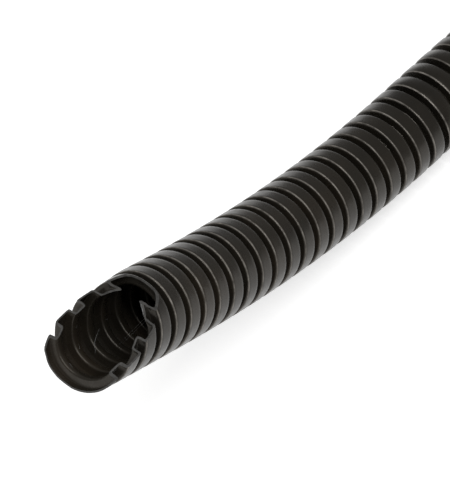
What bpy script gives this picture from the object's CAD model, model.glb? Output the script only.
import math

import bmesh
import bpy
from mathutils import Matrix, Vector


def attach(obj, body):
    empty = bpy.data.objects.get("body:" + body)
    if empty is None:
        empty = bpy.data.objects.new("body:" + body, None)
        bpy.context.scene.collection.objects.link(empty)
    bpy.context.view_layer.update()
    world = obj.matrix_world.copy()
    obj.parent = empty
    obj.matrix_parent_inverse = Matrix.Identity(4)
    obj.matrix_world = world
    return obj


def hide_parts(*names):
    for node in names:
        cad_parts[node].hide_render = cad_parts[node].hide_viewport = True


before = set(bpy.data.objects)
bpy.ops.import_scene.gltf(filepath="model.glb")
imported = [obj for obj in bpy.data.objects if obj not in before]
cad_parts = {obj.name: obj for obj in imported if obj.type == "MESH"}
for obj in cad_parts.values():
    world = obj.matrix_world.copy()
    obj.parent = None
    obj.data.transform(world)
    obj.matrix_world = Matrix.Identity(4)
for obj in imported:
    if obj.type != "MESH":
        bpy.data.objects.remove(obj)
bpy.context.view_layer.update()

# A corrugated conduit lying in a broad sweep on the floor, with its far end raised and cut off.
# The tube is modelled straight, in mm, cut off there, and then bent along its axis, in metres.
# Places on it are given by a, the distance from the square end along the axis, and by x and y
# across it: x towards the inside of the sweep, y up.

# ---------------------------------------------------------------- the tube's sizes, in mm
OUTSIDE_R = 16.0
CREST_R = 15.985                  # a hair inside the solid's crests
CREST_ROUND = 0.75                # the rounding of a crest's edges
FLOOR_R = 12.65                   # the floor of the grooves
BORE_R = 12.0
WALL = 0.65
PITCH = 8.79
GROOVE_TOP_W = 2.7
LAND_HALF = (PITCH - GROOVE_TOP_W) / 2
FLANK_LEAN = math.atan(0.25 / 3.35)

STOCK_LEN = 1000.0
STRAIGHT_LEN = 4.5 * PITCH        # the straight run at the square end, for a coupler
SWEEP = math.radians(65)          # how far the tube turns to the side on the floor
SWEEP_EASE = 1.8
RISE = math.radians(26.2)         # how steeply the end is raised
RISE_LEN = 170.0
RISE_EASE = 1.54
NOSE_LEN = 18.7                   # the straight run behind the mouth
LEVEL_LEN = STOCK_LEN - NOSE_LEN - RISE_LEN

# ---------------------------------------------------------------- how finely it is modelled
AXIS_LEN = 1045                   # the axis is worked out to here, past the last crest
AXIS_STEP = 0.25
LAST_CREST = 116                  # the first crest that is wholly past the cut
FINE_CRESTS = 24                  # crests behind the cut that have the full outline outside
FINE_RIDGES = 12                  # and inside, as far as the mouth shows them
END_RIDGES = 6                    # ridges inside the square end. Between, the bore is plain
FINE_SEGMENTS = 80                # around the tube
PLAIN_SEGMENTS = 40
ROUND_STEPS = 4                   # in the rounding of a crest's edge
TINY = 1e-6


# ---------------------------------------------------------------- the tube's axis
def heading(a):
    """How far the axis has turned to the side."""
    left = max(0.0, 1 - max(0.0, a - STRAIGHT_LEN) / (STOCK_LEN - STRAIGHT_LEN))
    return SWEEP * (1 - left ** SWEEP_EASE)


def slope(a):
    """How steeply the axis rises."""
    if a < LEVEL_LEN:
        return 0.0
    return RISE * (1 - max(0.0, 1 - (a - LEVEL_LEN) / RISE_LEN) ** RISE_EASE)


def direction(a):
    h, s = heading(a), slope(a)
    return Vector((-math.cos(s) * math.cos(h), -math.cos(s) * math.sin(h), math.sin(s)))


axis_points = [Vector((0, 0, 0))]
for i in range(int(AXIS_LEN / AXIS_STEP)):
    axis_points.append(axis_points[-1] + direction((i + 0.5) * AXIS_STEP) * AXIS_STEP)


def bent(a, x, y):
    """Where a point of the straight tube lies once the tube is bent, in metres."""
    steps = max(0.0, a / AXIS_STEP)
    i = min(int(steps), len(axis_points) - 2)
    point = axis_points[i].lerp(axis_points[i + 1], steps - i)
    h = heading(a)
    side = Vector((math.sin(h), -math.cos(h), 0))
    up = direction(a).cross(side)
    return (point + side * x + up * y) / 1000


# ---------------------------------------------------------------- the wall in section
# Half of one corrugation, as (distance from the crest's middle, radius).
def flank_z(r, depth=0.0):
    """Where the leaning flank is at a radius, or a face that lies that deep under it."""
    return LAND_HALF + (OUTSIDE_R - r) * math.tan(FLANK_LEAN) - depth / math.cos(FLANK_LEAN)


def rounded_edge():
    """The arc from a crest's land to its flank, and the distance at which it starts."""
    start_z = flank_z(CREST_R - CREST_ROUND) - CREST_ROUND
    points = []
    for k in range(ROUND_STEPS + 1):
        turn = math.pi / 2 - (math.pi / 2 - FLANK_LEAN) * k / ROUND_STEPS
        points.append((start_z + CREST_ROUND * math.cos(turn),
                       CREST_R - CREST_ROUND + CREST_ROUND * math.sin(turn)))
    return points, start_z


edge_arc, edge_z = rounded_edge()
inner_crest_r = CREST_R - WALL
fine_outside = [(0, CREST_R), (1.4, CREST_R), *edge_arc,
                (flank_z(14.0), 14.0), (flank_z(13.0), 13.0), (flank_z(12.8) + 0.06, 12.77),
                (flank_z(12.7) + 0.28, FLOOR_R), (PITCH / 2, FLOOR_R)]
fine_inside = [(0, inner_crest_r), (1.9, inner_crest_r), (2.32, inner_crest_r - 0.12),
               (flank_z(14.9, WALL), 14.9), (flank_z(13.3, WALL) - 0.02, 13.3),
               (2.62, 12.88), (2.70, 12.58), (2.90, 12.33), (3.22, 12.14), (3.66, 12.03),
               (PITCH / 2, BORE_R)]
plain_outside = [(0, CREST_R), (edge_z, CREST_R), (edge_z + 0.6, CREST_R - 0.35),
                 (flank_z(12.7), FLOOR_R), (PITCH / 2, FLOOR_R)]
plain_inside = [(0, inner_crest_r), (2.4, inner_crest_r), (2.6, 12.7), (3.3, BORE_R),
                (PITCH / 2, BORE_R)]


def both_sides(half):
    """A corrugation from the groove behind its crest to the groove in front, from one half."""
    return [(-z, r) for z, r in reversed(half)] + [p for p in half if p[0] > 0]


def stations(half, first, last, start=None):
    """(a, radius) along the crests first to last, from start on where that is given."""
    out = []
    for k in range(first, last + 1):
        for z, r in both_sides(half):
            a = k * PITCH + z
            if start is not None and a < start - TINY:
                continue
            if out and abs(out[-1][0] - a) < TINY and abs(out[-1][1] - r) < TINY:
                continue
            out.append((a, r))
    return out


def tube_skin(bm):
    """The whole tube, straight along z, as a closed skin with its far end past the cut."""
    first_fine = LAST_CREST - FINE_CRESTS + 1
    first_ridge = LAST_CREST - FINE_RIDGES + 1
    outside_plain = stations(plain_outside, 0, first_fine - 1, start=0.0)
    outside_fine = stations(fine_outside, first_fine, LAST_CREST)[1:]
    inside_plain = stations(plain_inside, 0, END_RIDGES - 1, start=0.0)
    inside_plain += [((k + 0.5) * PITCH, BORE_R) for k in range(END_RIDGES, first_ridge - 1)]
    inside_fine = stations(fine_inside, first_ridge, LAST_CREST)

    def ring(a, r, n):
        return [bm.verts.new((r * math.sin(2 * math.pi * i / n),
                              r * math.cos(2 * math.pi * i / n), a)) for i in range(n)]

    def rings(plain, fine):
        return [ring(a, r, PLAIN_SEGMENTS) for a, r in plain] \
            + [ring(a, r, FINE_SEGMENTS) for a, r in fine]

    def even_band(lower, upper):
        for i in range(len(lower)):
            j = (i + 1) % len(lower)
            bm.faces.new((lower[i], lower[j], upper[j], upper[i]))

    def doubling_band(coarse, fine, swap):
        """Between a ring and one of twice its segments, turned over where swap says so."""
        for i in range(len(coarse)):
            j = (i + 1) % len(coarse)
            f0, f1, f2 = fine[2 * i], fine[2 * i + 1], fine[(2 * i + 2) % len(fine)]
            for face in ((coarse[i], f1, f0), (coarse[i], coarse[j], f1), (coarse[j], f2, f1)):
                bm.faces.new(tuple(reversed(face)) if swap else face)

    def band(lower, upper):
        if len(lower) == len(upper):
            even_band(lower, upper)
        elif len(lower) < len(upper):
            doubling_band(lower, upper, swap=False)
        else:
            doubling_band(upper, lower, swap=True)

    outside = rings(outside_plain, outside_fine)
    for low, high in zip(outside, outside[1:]):
        band(high, low)
    inside = rings(inside_plain, inside_fine)
    for low, high in zip(inside, inside[1:]):
        band(low, high)
    band(outside[0], inside[0])
    band(inside[-1], outside[-1])


# ---------------------------------------------------------------- the hand-made cut
# The cut's course seen from the side: (height above the axis, a). It is the same on both sides.
SAW_PATH = [(-17.0, 1010.9), (-8.8, 1010.9), (-4.9, 1007.9), (-0.7, 1004.3), (1.9, 999.0),
            (5.3, 996.2), (8.2, 990.3), (11.6, 987.7), (14.2, 982.3), (17.0, 982.2)]
# The small waves that the saw left around the edge: (height, how many, phase).
SAW_WAVES = [(0.09, 9, 0.4), (0.05, 17, 0.0), (0.03, 31, 1.0)]
CUT_REACH = 0.1                   # faces that end further behind the cut than this aren't cut

# The wall beside the mouth, on the outside of the sweep, has sprung inwards.
SPRUNG_IN = 1.25
SPRUNG_AROUND = (-150, -12)       # between these angles around the tube, in degrees from its top
SPRUNG_AROUND_EASE = 45           # and it runs back to round over so many degrees at each end
SPRUNG_FROM = 972                 # it starts at this a
SPRUNG_EASE = 20                  # and is at its full depth so far in front of that


def cut_place(x, y):
    """How far along the tube the cut is, at the point (x, y) of its section."""
    angle = math.atan2(x, y)
    wave = sum(height * math.sin(count * angle + phase) for height, count, phase in SAW_WAVES)
    for (y0, a0), (y1, a1) in zip(SAW_PATH, SAW_PATH[1:]):
        if y <= y1:
            return a0 + (a1 - a0) * (y - y0) / (y1 - y0) + wave
    return SAW_PATH[-1][1] + wave


def eased(t):
    t = min(max(t, 0.0), 1.0)
    return t * t * (3 - 2 * t)


def sprung(x, y, a):
    """The section's point (x, y), moved in where the wall has sprung inwards."""
    degrees = math.degrees(math.atan2(x, y))
    share = eased((degrees - SPRUNG_AROUND[0]) / SPRUNG_AROUND_EASE) \
        * eased((SPRUNG_AROUND[1] - degrees) / SPRUNG_AROUND_EASE) \
        * eased((a - SPRUNG_FROM) / SPRUNG_EASE)
    k = 1 - SPRUNG_IN * share / CREST_R
    return x * k, y * k


def cut_off(bm):
    """Cuts the straight tube off, and returns the faces that close the cut wall."""
    for v in bm.verts:                          # the cut becomes the level z = 0
        v.co.z -= cut_place(v.co.x, v.co.y)
    near = [f for f in bm.faces if max(v.co.z for v in f.verts) > -CUT_REACH]
    near_edges = list({e for f in near for e in f.edges})
    near_verts = list({v for f in near for v in f.verts})
    bmesh.ops.bisect_plane(bm, geom=near + near_edges + near_verts, dist=1e-5,
                           plane_co=(0, 0, 0), plane_no=(0, 0, 1), clear_outer=True)
    before = set(bm.faces)
    border = [e for e in bm.edges if len(e.link_faces) == 1]
    bmesh.ops.triangle_fill(bm, use_beauty=True, use_dissolve=False, edges=border)
    for v in bm.verts:
        v.co.z += cut_place(v.co.x, v.co.y)
    return [f for f in bm.faces if f not in before]


# ---------------------------------------------------------------- what the saw left in the mouth
# Each strand: thickness at its root, then points (a, x, y).
BURR = [(0.50, [(987.9, 4.9, 11.0), (988.4, 6.0, 10.3), (989.2, 7.0, 9.7), (989.9, 7.9, 9.2)]),
        (0.38, [(989.6, 7.6, 9.5), (988.4, 6.9, 9.0), (987.8, 6.0, 9.6), (987.5, 5.6, 10.5)]),
        (0.32, [(988.0, 5.0, 10.9), (987.4, 5.4, 10.0), (988.3, 6.9, 8.6), (990.0, 8.3, 8.7)])]
HAIRS = [(0.07, [(980.6, 8.0, 8.9), (980.9, 4.2, 0.6), (980.6, 1.0, -6.2), (980.2, -1.4, -11.8)]),
         (0.06, [(981.9, 7.6, 9.2), (981.8, 3.6, 0.8), (981.5, 0.5, -6.0), (981.0, -1.9, -11.7)]),
         (0.16, [(990.6, -6.0, -10.3), (990.0, -6.4, -8.2), (989.2, -6.6, -6.0),
                 (988.9, -6.7, -4.9)]),
         (0.13, [(989.9, -6.1, -10.2), (991.2, -5.2, -10.6), (992.3, -4.1, -10.9),
                 (993.4, -3.2, -11.6)]),
         (0.11, [(996.9, -11.3, -3.9), (997.6, -10.7, -3.7), (998.0, -10.2, -2.9),
                 (998.2, -10.1, -2.2)]),
         (0.10, [(980.0, -10.1, -6.4), (980.5, -9.3, -6.2), (980.8, -8.9, -5.5),
                 (980.9, -8.8, -4.9)]),
         (0.13, [(998.3, -6.8, -9.8), (998.5, -6.6, -9.2), (998.6, -6.9, -8.6),
                 (998.8, -7.4, -8.0)]),
         (0.10, [(1006.4, -4.4, -11.1), (1007.0, -3.8, -10.9), (1007.2, -3.0, -11.0),
                 (1007.3, -2.3, -11.4)])]
STRAND_SIDES = 6
STRAND_STEPS = 14
STRAND_TAPER = 0.75               # how much thinner a strand is at its tip, as a share


def smooth_line(points, steps):
    """Points along a smooth line through the given ones, bent with the tube, in metres."""
    ends = [points[0], *points, points[-1]]
    line = []
    for i in range(steps + 1):
        t = i / steps * (len(points) - 1)
        k = min(int(t), len(points) - 2)
        u = t - k
        p0, p1, p2, p3 = (Vector((x, y, a)) for a, x, y in ends[k:k + 4])
        p = 0.5 * (2 * p1 + (p2 - p0) * u + (2 * p0 - 5 * p1 + 4 * p2 - p3) * u ** 2
                   + (3 * p1 - p0 - 3 * p2 + p3) * u ** 3)
        line.append(bent(p.z, p.x, p.y))
    return line


def add_strand(bm, thickness, points):
    """A thin strand that tapers to its tip."""
    line = smooth_line(points, STRAND_STEPS)
    loops = []
    for i, place in enumerate(line):
        along_it = (line[min(i + 1, STRAND_STEPS)] - line[max(i - 1, 0)]).normalized()
        across = along_it.orthogonal().normalized()
        other = along_it.cross(across)
        r = thickness / 2000 * (1 - STRAND_TAPER * i / STRAND_STEPS)
        loop = []
        for j in range(STRAND_SIDES):
            turn = 2 * math.pi * j / STRAND_SIDES
            loop.append(bm.verts.new(place + r * (across * math.cos(turn)
                                                  + other * math.sin(turn))))
        loops.append(loop)
    faces = [bm.faces.new(loops[0]), bm.faces.new(tuple(reversed(loops[-1])))]
    for low, high in zip(loops, loops[1:]):
        for j in range(STRAND_SIDES):
            k = (j + 1) % STRAND_SIDES
            faces.append(bm.faces.new((low[j], high[j], high[k], low[k])))
    for f in faces:
        f.material_index = TORN


# ---------------------------------------------------------------- the conduit's mesh
SKIN, CUT, TORN = range(3)        # the order of its materials
SHARP_ANGLE = math.radians(38)


def conduit_mesh():
    mesh = bpy.data.meshes.new("conduit_skin")
    bm = bmesh.new()
    tube_skin(bm)
    bm.normal_update()
    for f in cut_off(bm):
        f.material_index = CUT

    # Where each point was on the straight tube is kept for the material, as two attributes.
    along = bm.verts.layers.float.new("along")
    radius = bm.verts.layers.float.new("radius")
    for v in bm.verts:
        v[along] = v.co.z
        v[radius] = math.hypot(v.co.x, v.co.y)
        v.co = bent(v.co.z, *sprung(v.co.x, v.co.y, v.co.z))
    for thickness, points in BURR + HAIRS:
        add_strand(bm, thickness, points)

    bmesh.ops.recalc_face_normals(bm, faces=bm.faces[:])
    bm.to_mesh(mesh)
    bm.free()
    for p in mesh.polygons:
        p.use_smooth = p.material_index == SKIN
    mesh.set_sharp_from_angle(angle=SHARP_ANGLE)
    return mesh


# ---------------------------------------------------------------- nodes
def new_material(name):
    material = bpy.data.materials.new(name)
    material.use_nodes = True
    nodes, links = material.node_tree.nodes, material.node_tree.links
    return material, nodes, links, nodes["Principled BSDF"]


def place_in_object(nodes):
    return nodes.new("ShaderNodeTexCoord").outputs["Object"]


def attribute(nodes, name):
    n = nodes.new("ShaderNodeAttribute")
    n.attribute_name = name
    return n.outputs["Fac"]


def noise(nodes, links, vector, scale, detail, roughness=0.55):
    n = nodes.new("ShaderNodeTexNoise")
    n.inputs["Scale"].default_value = scale
    n.inputs["Detail"].default_value = detail
    n.inputs["Roughness"].default_value = roughness
    links.new(vector, n.inputs["Vector"])
    return n.outputs["Fac"]


def ramp(nodes, links, value, stops):
    r = nodes.new("ShaderNodeValToRGB")
    while len(r.color_ramp.elements) < len(stops):
        r.color_ramp.elements.new(0.5)
    for e, (position, colour) in zip(r.color_ramp.elements, stops):
        e.position = position
        e.color = (*colour, 1)
    links.new(value, r.inputs["Fac"])
    return r.outputs["Color"]


def map_range(nodes, links, value, span, to_span):
    """The value, moved from one span of numbers to another."""
    m = nodes.new("ShaderNodeMapRange")
    sockets = ("From Min", "From Max", "To Min", "To Max")
    for socket, x in zip(sockets, (*span, *to_span)):
        m.inputs[socket].default_value = x
    links.new(value, m.inputs["Value"])
    return m.outputs["Result"]


def math_node(nodes, links, operation, *values):
    m = nodes.new("ShaderNodeMath")
    m.operation = operation
    for socket, x in zip(m.inputs, values):
        if isinstance(x, (int, float)):
            socket.default_value = x
        else:
            links.new(x, socket)
    return m.outputs["Value"]


def mixed(nodes, links, share, first, second):
    """The first colour where the share is 0, and the second where it is 1."""
    m = nodes.new("ShaderNodeMix")
    m.data_type = "RGBA"
    links.new(share, m.inputs["Factor"])
    colour_a, colour_b, colour_result = m.inputs[6], m.inputs[7], m.outputs[2]
    links.new(first, colour_a)
    colour_b.default_value = (*second, 1)
    return colour_result


def add_bump(nodes, links, shader, height, strength, distance):
    bump = nodes.new("ShaderNodeBump")
    bump.inputs["Strength"].default_value = strength
    bump.inputs["Distance"].default_value = distance
    links.new(height, bump.inputs["Height"])
    links.new(bump.outputs["Normal"], shader.inputs["Normal"])


# ---------------------------------------------------------------- the plastic
# The edge of each crest that faces the mouth is rubbed lighter, in a thin line.
RUBBED_AT = 2.65                  # its middle, from the crest's middle
RUBBED_CORE = 0.08                # to each side it is at its lightest so far
RUBBED_REACH = 0.34               # and it ends there
RUBBED_RADII = (15.4, 15.7)       # it fades in between these radii, so the inside has none
RUBBED_COLOUR = (0.21, 0.195, 0.175)


def rubbed_line(nodes, links):
    """1 along the rubbed line of each crest, and 0 elsewhere."""
    crests = math_node(nodes, links, "MULTIPLY_ADD", attribute(nodes, "along"), 1 / PITCH, 0.5)
    phase = math_node(nodes, links, "FRACT", crests)
    off = math_node(nodes, links, "SUBTRACT", phase, 0.5 + RUBBED_AT / PITCH)
    off = math_node(nodes, links, "ABSOLUTE", off)
    near = map_range(nodes, links, off, (RUBBED_CORE / PITCH, RUBBED_REACH / PITCH), (1, 0))
    outside = map_range(nodes, links, attribute(nodes, "radius"), RUBBED_RADII, (0, 1))
    return math_node(nodes, links, "MULTIPLY", near, outside)


def black_plastic():
    """Satin black, faintly mottled and warm, as the tube was moulded."""
    material, nodes, links, shader = new_material("satin_black_plastic")
    place = place_in_object(nodes)
    mottle = noise(nodes, links, place, scale=38, detail=5)
    black = ramp(nodes, links, mottle, [(0.30, (0.0080, 0.0070, 0.0056)),
                                        (0.52, (0.0125, 0.0105, 0.0078)),
                                        (0.70, (0.0180, 0.0140, 0.0098))])
    scuffs = map_range(nodes, links, noise(nodes, links, place, scale=320, detail=4),
                       (0.35, 0.7), (0.25, 1.0))
    rubbed = math_node(nodes, links, "MULTIPLY", rubbed_line(nodes, links), scuffs)
    links.new(mixed(nodes, links, rubbed, black, RUBBED_COLOUR), shader.inputs["Base Color"])

    streaks = noise(nodes, links, place, scale=260, detail=6, roughness=0.6)
    links.new(map_range(nodes, links, streaks, (0.3, 0.75), (0.22, 0.36)),
              shader.inputs["Roughness"])
    grain = noise(nodes, links, place, scale=1400, detail=3)
    waves = noise(nodes, links, place, scale=90, detail=3)
    height = math_node(nodes, links, "MULTIPLY_ADD", grain, 0.25, waves)
    add_bump(nodes, links, shader, height, strength=0.35, distance=0.00012)
    shader.inputs["Specular IOR Level"].default_value = 0.29
    shader.inputs["Specular Tint"].default_value = (1.0, 0.93, 0.83, 1)
    return material


def cut_plastic():
    """The sawn wall: dull, with torn lighter spots."""
    material, nodes, links, shader = new_material("cut_edge_plastic")
    torn = noise(nodes, links, place_in_object(nodes), scale=700, detail=5, roughness=0.7)
    colour = ramp(nodes, links, torn, [(0.35, (0.014, 0.0128, 0.011)),
                                       (0.78, (0.075, 0.072, 0.067))])
    links.new(colour, shader.inputs["Base Color"])
    links.new(map_range(nodes, links, torn, (0.3, 0.7), (0.45, 0.75)), shader.inputs["Roughness"])
    add_bump(nodes, links, shader, torn, strength=0.7, distance=0.0002)
    return material


def torn_plastic():
    """The strands and the burr, whitened where they were torn."""
    material, nodes, links, shader = new_material("torn_strands_plastic")
    spots = noise(nodes, links, place_in_object(nodes), scale=900, detail=3)
    colour = ramp(nodes, links, spots, [(0.35, (0.10, 0.10, 0.098)), (0.7, (0.26, 0.265, 0.26))])
    links.new(colour, shader.inputs["Base Color"])
    shader.inputs["Roughness"].default_value = 0.5
    return material


conduit_skin = conduit_mesh()
for make_material in (black_plastic, cut_plastic, torn_plastic):
    conduit_skin.materials.append(make_material())
conduit = bpy.data.objects.new("conduit_skin", conduit_skin)
bpy.context.scene.collection.objects.link(conduit)
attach(conduit, "root")
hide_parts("conduit")

# ---------------------------------------------------------------- floor, light and camera
FLOOR_Z = -OUTSIDE_R / 1000       # the tube lies on its crests
FLOOR_REACH = 6
FLOOR_COLOUR = (0.93, 0.93, 0.93, 1)
FLOOR_GLOW = 0.50                 # lifts the floor to white where it is seen
AMBIENT = 0.40
MOUTH = bent(STOCK_LEN, 0, 0)


def seen_directly(nodes, links):
    """1 for the rays that show the floor itself: camera, glossy and transmission rays."""
    path = nodes.new("ShaderNodeLightPath")
    seen = math_node(nodes, links, "MAXIMUM", path.outputs["Is Camera Ray"],
                     path.outputs["Is Glossy Ray"])
    return math_node(nodes, links, "MAXIMUM", seen, path.outputs["Is Transmission Ray"])


def pale_floor():
    material, nodes, links, shader = new_material("pale_floor")
    shader.inputs["Base Color"].default_value = FLOOR_COLOUR
    shader.inputs["Roughness"].default_value = 0.9
    shader.inputs["Specular IOR Level"].default_value = 0.1
    shader.inputs["Emission Color"].default_value = (1, 1, 1, 1)
    links.new(map_range(nodes, links, seen_directly(nodes, links), (0, 1), (0, FLOOR_GLOW)),
              shader.inputs["Emission Strength"])
    return material


def add_floor():
    corners = [(-1, -1), (1, -1), (1, 1), (-1, 1)]
    mesh = bpy.data.meshes.new("floor")
    mesh.from_pydata([(x * FLOOR_REACH, y * FLOOR_REACH, FLOOR_Z) for x, y in corners],
                     [], [(0, 1, 2, 3)])
    mesh.materials.append(pale_floor())
    floor = bpy.data.objects.new("floor", mesh)
    bpy.context.scene.collection.objects.link(floor)


def add_world():
    world = bpy.data.worlds.new("studio")
    bpy.context.scene.world = world
    world.use_nodes = True
    background = world.node_tree.nodes["Background"]
    background.inputs["Color"].default_value = (1, 1, 1, 1)
    background.inputs["Strength"].default_value = AMBIENT


def add_lamp(name, offset, long_axis, size, power):
    """A rectangular lamp off the mouth, facing it, with its first side along long_axis."""
    data = bpy.data.lights.new(name, "AREA")
    data.shape = "RECTANGLE"
    data.size, data.size_y = size
    data.energy = power
    lamp = bpy.data.objects.new(name, data)
    back = offset.normalized()
    side = (long_axis - long_axis.dot(back) * back).normalized()
    lamp.matrix_world = Matrix.Translation(MOUTH + offset) \
        @ Matrix((side, back.cross(side), back)).transposed().to_4x4()
    bpy.context.scene.collection.objects.link(lamp)


def add_camera():
    """Looks down at the mouth from in front of it, through a long lens."""
    right = Vector((0.97771628, 0.20993066, 0.0))
    down = Vector((0.1642315, -0.7648802, -0.62288545))
    forward = Vector((-0.13076275, 0.60900525, -0.78231305))
    data = bpy.data.cameras.new("camera")
    data.sensor_width = 36
    data.lens = 232.142857
    data.clip_start = 0.05
    data.clip_end = 50
    camera = bpy.data.objects.new("camera", data)
    camera.matrix_world = Matrix.Translation(Vector((-0.53434845, -1.21397875, 0.90183200))) \
        @ Matrix((right, -down, -forward)).transposed().to_4x4()
    bpy.context.scene.collection.objects.link(camera)
    bpy.context.scene.camera = camera


add_floor()
add_world()
add_lamp("key", offset=Vector((0.18, -0.30, 1.2)), long_axis=Vector((0.8, -0.6, -0.1)),
         size=(1.3, 0.07), power=12)
add_lamp("front", offset=Vector((-1.0, -0.8, 0.15)), long_axis=Vector((0, 0, 1)),
         size=(0.3, 0.7), power=1.2)
add_camera()
bpy.context.scene.view_settings.view_transform = "Standard"
